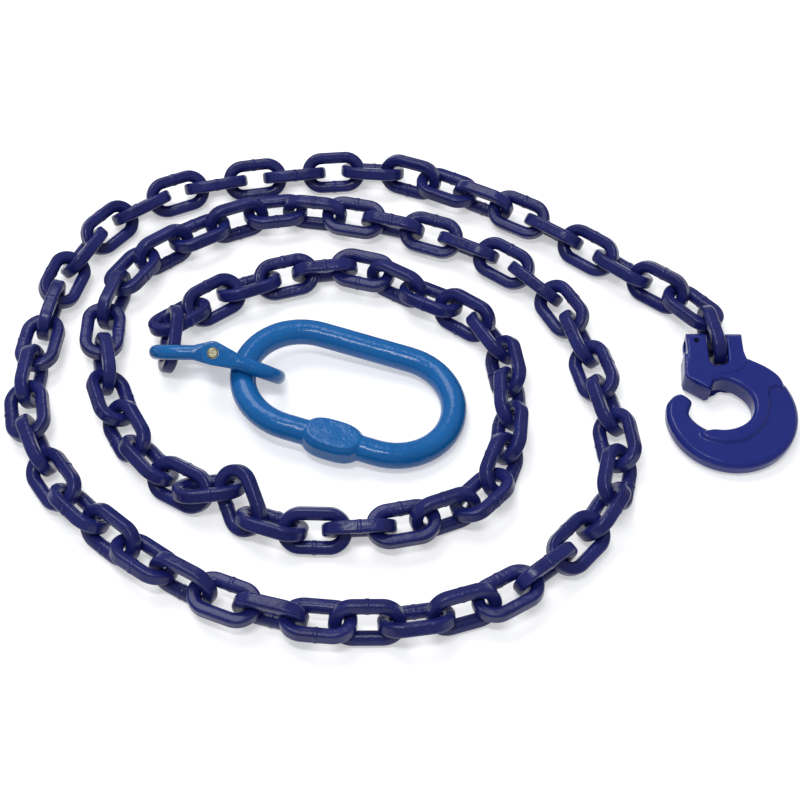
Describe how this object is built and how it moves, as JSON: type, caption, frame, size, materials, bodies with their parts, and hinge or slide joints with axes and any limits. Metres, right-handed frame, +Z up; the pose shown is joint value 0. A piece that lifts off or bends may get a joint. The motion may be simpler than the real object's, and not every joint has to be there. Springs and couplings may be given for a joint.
{
  "type": "skidding chain",
  "caption": "Square-link skidding chain laid in a coil, with a master link, a two-part coupling link and a clevis choker hook",
  "frame": {"origin": "middle of the lay in plan, on the surface that it lies on", "axes": "+X to the right of the lay, towards the hook; +Y away from the viewer; +Z up"},
  "size_m": [0.4914, 0.3893, 0.0483],
  "materials": {
    "dark_blue": "glossy dark blue paint over square-section alloy steel",
    "light_blue": "glossy lighter blue paint over forged steel",
    "pin_steel": "bare steel pin"
  },
  "bodies": {
    "link_01": {"link_01": "dark_blue"},
    "link_02": {"link_02": "dark_blue"},
    "link_03": {"link_03": "dark_blue"},
    "link_04": {"link_04": "dark_blue"},
    "link_05": {"link_05": "dark_blue"},
    "link_06": {"link_06": "dark_blue"},
    "link_07": {"link_07": "dark_blue"},
    "link_08": {"link_08": "dark_blue"},
    "links_09_10": {"links_09_10": "dark_blue"},
    "links_11_12": {"links_11_12": "dark_blue"},
    "links_13_14": {"links_13_14": "dark_blue"},
    "links_15_16": {"links_15_16": "dark_blue"},
    "links_17_18": {"links_17_18": "dark_blue"},
    "links_19_20": {"links_19_20": "dark_blue"},
    "links_21_22": {"links_21_22": "dark_blue"},
    "links_23_24": {"links_23_24": "dark_blue"},
    "links_25_26": {"links_25_26": "dark_blue"},
    "links_27_28": {"links_27_28": "dark_blue"},
    "links_29_30": {"links_29_30": "dark_blue"},
    "links_31_32": {"links_31_32": "dark_blue"},
    "links_33_34": {"links_33_34": "dark_blue"},
    "links_35_36": {"links_35_36": "dark_blue"},
    "links_37_38": {"links_37_38": "dark_blue"},
    "links_39_40": {"links_39_40": "dark_blue"},
    "links_41_42": {"links_41_42": "dark_blue"},
    "links_43_44": {"links_43_44": "dark_blue"},
    "links_45_46": {"links_45_46": "dark_blue"},
    "links_47_48": {"links_47_48": "dark_blue"},
    "links_49_50": {"links_49_50": "dark_blue"},
    "links_51_52": {"links_51_52": "dark_blue"},
    "links_53_54": {"links_53_54": "dark_blue"},
    "links_55_56": {"links_55_56": "dark_blue"},
    "links_57_58": {"links_57_58": "dark_blue"},
    "links_59_60": {"links_59_60": "dark_blue"},
    "links_61_62": {"links_61_62": "dark_blue"},
    "links_63_64": {"links_63_64": "dark_blue"},
    "links_65_66": {"links_65_66": "dark_blue"},
    "links_67_68": {"links_67_68": "dark_blue"},
    "links_69_70": {"links_69_70": "dark_blue"},
    "links_71_72": {"links_71_72": "dark_blue"},
    "links_73_74": {"links_73_74": "dark_blue"},
    "links_75_76": {"links_75_76": "dark_blue"},
    "links_77_78": {"links_77_78": "dark_blue"},
    "links_79_80": {"links_79_80": "dark_blue"},
    "link_81": {"link_81": "dark_blue"},
    "link_82": {"link_82": "dark_blue"},
    "link_83": {"link_83": "dark_blue"},
    "link_84": {"link_84": "dark_blue"},
    "link_85": {"link_85": "dark_blue"},
    "link_86": {"link_86": "dark_blue"},
    "link_87": {"link_87": "dark_blue"},
    "link_88": {"link_88": "dark_blue"},
    "coupling_chain_side": {"coupling_half_chain": "light_blue", "coupling_load_pin": "pin_steel", "coupling_sleeve": "light_blue"},
    "coupling_ring_side": {"coupling_half_ring": "light_blue"},
    "master_link": {"master_link": "light_blue"},
    "hook": {"hook_body": "dark_blue", "hook_load_pin": "dark_blue", "hook_lock_pin": "pin_steel"}
  },
  "joints": [
    {"name": "swing_44_45", "type": "hinge", "parent": "links_43_44", "child": "links_45_46", "pos_m": [0.12055, 0.01414, 0.01368], "axis": [-0.9658, -0.2594, 0], "range_deg": [-18, 18]},
    {"name": "swing_46_47", "type": "hinge", "parent": "links_45_46", "child": "links_47_48", "pos_m": [0.13261, -0.03953, 0.01353], "axis": [0.9894, 0.145, 0], "range_deg": [-18, 18]},
    {"name": "swing_48_49", "type": "hinge", "parent": "links_47_48", "child": "links_49_50", "pos_m": [0.12929, -0.09385, 0.01306], "axis": [-0.9244, 0.3814, 0], "range_deg": [-9, 11]},
    {"name": "swing_50_51", "type": "hinge", "parent": "links_49_50", "child": "links_51_52", "pos_m": [0.09592, -0.13751, 0.01422], "axis": [0.6857, -0.7279, 0], "range_deg": [-5, 17]},
    {"name": "swing_52_53", "type": "hinge", "parent": "links_51_52", "child": "links_53_54", "pos_m": [0.05072, -0.16887, 0.01472], "axis": [-0.4092, 0.9125, 0], "range_deg": [-15, 11]},
    {"name": "swing_54_55", "type": "hinge", "parent": "links_53_54", "child": "links_55_56", "pos_m": [-0.00313, -0.1808, 0.01407], "axis": [0.0777, -0.997, 0], "range_deg": [-7, 18]},
    {"name": "swing_56_57", "type": "hinge", "parent": "links_55_56", "child": "links_57_58", "pos_m": [-0.05837, -0.17848, 0.01485], "axis": [0.1708, 0.9853, 0], "range_deg": [-11, 9]},
    {"name": "swing_58_59", "type": "hinge", "parent": "links_57_58", "child": "links_59_60", "pos_m": [-0.11098, -0.16113, 0.0148], "axis": [-0.4354, -0.9002, 0], "range_deg": [-11, 15]},
    {"name": "swing_60_61", "type": "hinge", "parent": "links_59_60", "child": "links_61_62", "pos_m": [-0.15762, -0.13114, 0.01405], "axis": [0.6089, 0.7933, 0], "range_deg": [-11, 18]},
    {"name": "swing_62_63", "type": "hinge", "parent": "links_61_62", "child": "links_63_64", "pos_m": [-0.19905, -0.09422, 0.01287], "axis": [-0.756, -0.6546, 0], "range_deg": [-7, 3]},
    {"name": "swing_64_65", "type": "hinge", "parent": "links_63_64", "child": "links_65_66", "pos_m": [-0.22704, -0.0463, 0.01473], "axis": [0.9489, 0.3157, 0], "range_deg": [-9, 18]},
    {"name": "swing_66_67", "type": "hinge", "parent": "links_65_66", "child": "links_67_68", "pos_m": [-0.231, 0.00857, 0.01482], "axis": [-0.9984, 0.0566, 0], "range_deg": [-15, 15]},
    {"name": "swing_68_69", "type": "hinge", "parent": "links_67_68", "child": "links_69_70", "pos_m": [-0.22511, 0.06367, 0.01458], "axis": [0.9813, -0.1926, 0], "range_deg": [-17, 1]},
    {"name": "swing_70_71", "type": "hinge", "parent": "links_69_70", "child": "links_71_72", "pos_m": [-0.20698, 0.11595, 0.01298], "axis": [-0.8502, 0.5264, 0], "range_deg": [-7, 9]},
    {"name": "swing_72_73", "type": "hinge", "parent": "links_71_72", "child": "links_73_74", "pos_m": [-0.16725, 0.1541, 0.01266], "axis": [0.504, -0.8637, 0], "range_deg": [-11, 13]},
    {"name": "swing_74_75", "type": "hinge", "parent": "links_73_74", "child": "links_75_76", "pos_m": [-0.11479, 0.17133, 0.01274], "axis": [-0.1988, 0.98, 0], "range_deg": [-18, 18]},
    {"name": "swing_76_77", "type": "hinge", "parent": "links_75_76", "child": "links_77_78", "pos_m": [-0.06005, 0.1798, 0.01282], "axis": [0.1109, -0.9938, 0], "range_deg": [-18, 18]},
    {"name": "swing_78_79", "type": "hinge", "parent": "links_77_78", "child": "links_79_80", "pos_m": [-0.00475, 0.18025, 0.01397], "axis": [0.2174, 0.9761, 0], "range_deg": [-7, 11]},
    {"name": "swing_80_81", "type": "hinge", "parent": "links_79_80", "child": "link_81", "pos_m": [0.046, 0.15763, 0.01482], "axis": [-0.4495, -0.8933, 0], "range_deg": [-11, 9]},
    {"name": "swing_81_82", "type": "hinge", "parent": "link_81", "child": "link_82", "pos_m": [0.07069, 0.14505, 0.01457], "axis": [0.4828, 0.8757, 0], "range_deg": [-3, 17]},
    {"name": "swing_82_83", "type": "hinge", "parent": "link_82", "child": "link_83", "pos_m": [0.09463, 0.13106, 0.01389], "axis": [-0.5445, -0.8388, 0], "range_deg": [-11, 18]},
    {"name": "swing_83_84", "type": "hinge", "parent": "link_83", "child": "link_84", "pos_m": [0.11712, 0.1148, 0.01305], "axis": [0.5974, 0.802, 0], "range_deg": [-7, 11]},
    {"name": "swing_84_85", "type": "hinge", "parent": "link_84", "child": "link_85", "pos_m": [0.13903, 0.09778, 0.01294], "axis": [-0.6265, -0.7794, 0], "range_deg": [-11, 15]},
    {"name": "swing_85_86", "type": "hinge", "parent": "link_85", "child": "link_86", "pos_m": [0.16027, 0.07995, 0.01372], "axis": [0.6198, 0.7848, 0], "range_deg": [-5, 13]},
    {"name": "swing_86_87", "type": "hinge", "parent": "link_86", "child": "link_87", "pos_m": [0.183, 0.06394, 0.01438], "axis": [-0.6699, -0.7425, 0], "range_deg": [0, 18]},
    {"name": "swing_87_88", "type": "hinge", "parent": "link_87", "child": "link_88", "pos_m": [0.20173, 0.04353, 0.01465], "axis": [0.9022, 0.4313, 0], "range_deg": [-18, 1]},
    {"name": "swing_42_43", "type": "hinge", "parent": "links_43_44", "child": "links_41_42", "pos_m": [0.1004, 0.06503, 0.01368], "axis": [-0.8161, -0.578, 0], "range_deg": [-9, 17]},
    {"name": "swing_40_41", "type": "hinge", "parent": "links_41_42", "child": "links_39_40", "pos_m": [0.05947, 0.10157, 0.01368], "axis": [0.5293, 0.8484, 0], "range_deg": [-18, 13]},
    {"name": "swing_38_39", "type": "hinge", "parent": "links_39_40", "child": "links_37_38", "pos_m": [0.00918, 0.12375, 0.01426], "axis": [-0.3153, -0.949, 0], "range_deg": [-13, 18]},
    {"name": "swing_36_37", "type": "hinge", "parent": "links_37_38", "child": "links_35_36", "pos_m": [-0.04412, 0.13729, 0.0148], "axis": [0.1769, 0.9842, 0], "range_deg": [-15, 13]},
    {"name": "swing_34_35", "type": "hinge", "parent": "links_35_36", "child": "links_33_34", "pos_m": [-0.09861, 0.13791, 0.01483], "axis": [0.2713, -0.9625, 0], "range_deg": [-18, 13]},
    {"name": "swing_32_33", "type": "hinge", "parent": "links_33_34", "child": "links_31_32", "pos_m": [-0.14763, 0.11279, 0.01482], "axis": [-0.5635, 0.8261, 0], "range_deg": [-15, 18]},
    {"name": "swing_30_31", "type": "hinge", "parent": "links_31_32", "child": "links_29_30", "pos_m": [-0.18434, 0.07294, 0.01482], "axis": [0.9238, -0.383, 0], "range_deg": [-18, 11]},
    {"name": "swing_28_29", "type": "hinge", "parent": "links_29_30", "child": "links_27_28", "pos_m": [-0.19059, 0.01838, 0.01477], "axis": [-0.9924, -0.1227, 0], "range_deg": [-17, 13]},
    {"name": "swing_26_27", "type": "hinge", "parent": "links_27_28", "child": "links_25_26", "pos_m": [-0.17428, -0.03434, 0.0133], "axis": [0.9042, 0.4272, 0], "range_deg": [-11, 3]},
    {"name": "swing_24_25", "type": "hinge", "parent": "links_25_26", "child": "links_23_24", "pos_m": [-0.14266, -0.07935, 0.01232], "axis": [-0.636, -0.7717, 0], "range_deg": [-13, 13]},
    {"name": "swing_22_23", "type": "hinge", "parent": "links_23_24", "child": "links_21_22", "pos_m": [-0.09714, -0.0868, 0.02003], "axis": [0.4565, 0.8897, 0], "range_deg": [-18, 13]},
    {"name": "swing_20_21", "type": "hinge", "parent": "links_21_22", "child": "links_19_20", "pos_m": [-0.06199, -0.11912, 0.01304], "axis": [-0.1773, -0.9842, 0], "range_deg": [-11, 9]},
    {"name": "swing_18_19", "type": "hinge", "parent": "links_19_20", "child": "links_17_18", "pos_m": [-0.00953, -0.11782, 0.01456], "axis": [-0.1308, 0.9914, 0], "range_deg": [-15, 3]},
    {"name": "swing_16_17", "type": "hinge", "parent": "links_17_18", "child": "links_15_16", "pos_m": [0.04105, -0.10391, 0.01479], "axis": [0.555, -0.8318, 0], "range_deg": [-18, 0]},
    {"name": "swing_14_15", "type": "hinge", "parent": "links_15_16", "child": "links_13_14", "pos_m": [0.06741, -0.0603, 0.01344], "axis": [-0.9748, 0.2232, 0], "range_deg": [-3, 3]},
    {"name": "swing_12_13", "type": "hinge", "parent": "links_13_14", "child": "links_11_12", "pos_m": [0.07024, -0.00842, 0.01361], "axis": [0.9979, 0.0653, 0], "range_deg": [-9, 7]},
    {"name": "swing_10_11", "type": "hinge", "parent": "links_11_12", "child": "links_09_10", "pos_m": [0.05414, 0.04015, 0.01368], "axis": [-0.746, -0.6659, 0], "range_deg": [-3, 1]},
    {"name": "swing_08_09", "type": "hinge", "parent": "links_09_10", "child": "link_08", "pos_m": [0.00971, 0.06698, 0.01469], "axis": [0.4926, 0.8703, 0], "range_deg": [-18, 7]},
    {"name": "swing_07_08", "type": "hinge", "parent": "link_08", "child": "link_07", "pos_m": [-0.01163, 0.08215, 0.01486], "axis": [-0.3974, -0.9176, 0], "range_deg": [-9, 17]},
    {"name": "swing_06_07", "type": "hinge", "parent": "link_07", "child": "link_06", "pos_m": [-0.03654, 0.08919, 0.01459], "axis": [0.0686, 0.9976, 0], "range_deg": [-15, 11]},
    {"name": "swing_05_06", "type": "hinge", "parent": "link_06", "child": "link_05", "pos_m": [-0.06241, 0.08445, 0.01399], "axis": [0.2081, -0.9781, 0], "range_deg": [-3, 18]},
    {"name": "swing_04_05", "type": "hinge", "parent": "link_05", "child": "link_04", "pos_m": [-0.08724, 0.07719, 0.01368], "axis": [-0.3339, 0.9426, 0], "range_deg": [-7, 9]},
    {"name": "swing_03_04", "type": "hinge", "parent": "link_04", "child": "link_03", "pos_m": [-0.11128, 0.06758, 0.014], "axis": [0.4905, -0.8714, 0], "range_deg": [-9, 9]},
    {"name": "swing_02_03", "type": "hinge", "parent": "link_03", "child": "link_02", "pos_m": [-0.1324, 0.05222, 0.01394], "axis": [-0.6375, 0.7705, 0], "range_deg": [-7, 5]},
    {"name": "swing_01_02", "type": "hinge", "parent": "link_02", "child": "link_01", "pos_m": [-0.14978, 0.03537, 0.02166], "axis": [0.8917, -0.4526, 0], "range_deg": [-3, 18]},
    {"name": "coupling_swing", "type": "hinge", "parent": "link_01", "child": "coupling_chain_side", "pos_m": [-0.14998, 0.00637, 0.0178], "axis": [0.0626, -0.998, 0], "range_deg": [0, 28]},
    {"name": "coupling_pin_turn", "type": "hinge", "parent": "coupling_chain_side", "child": "coupling_ring_side", "pos_m": [-0.117, 0.006, 0.0245], "axis": [0.1197, -0.6287, 0.7684], "range_deg": [-32, 58]},
    {"name": "ring_swing", "type": "hinge", "parent": "coupling_ring_side", "child": "master_link", "pos_m": [-0.09337, 0.00607, 0.02159], "axis": [-0.342, -0.9397, 0], "range_deg": [-58, 0]},
    {"name": "hook_swing", "type": "hinge", "parent": "link_88", "child": "hook", "pos_m": [0.20309, 0.01942, 0.0141], "axis": [1, 0, 0], "range_deg": [-85, 85]}
  ]
}
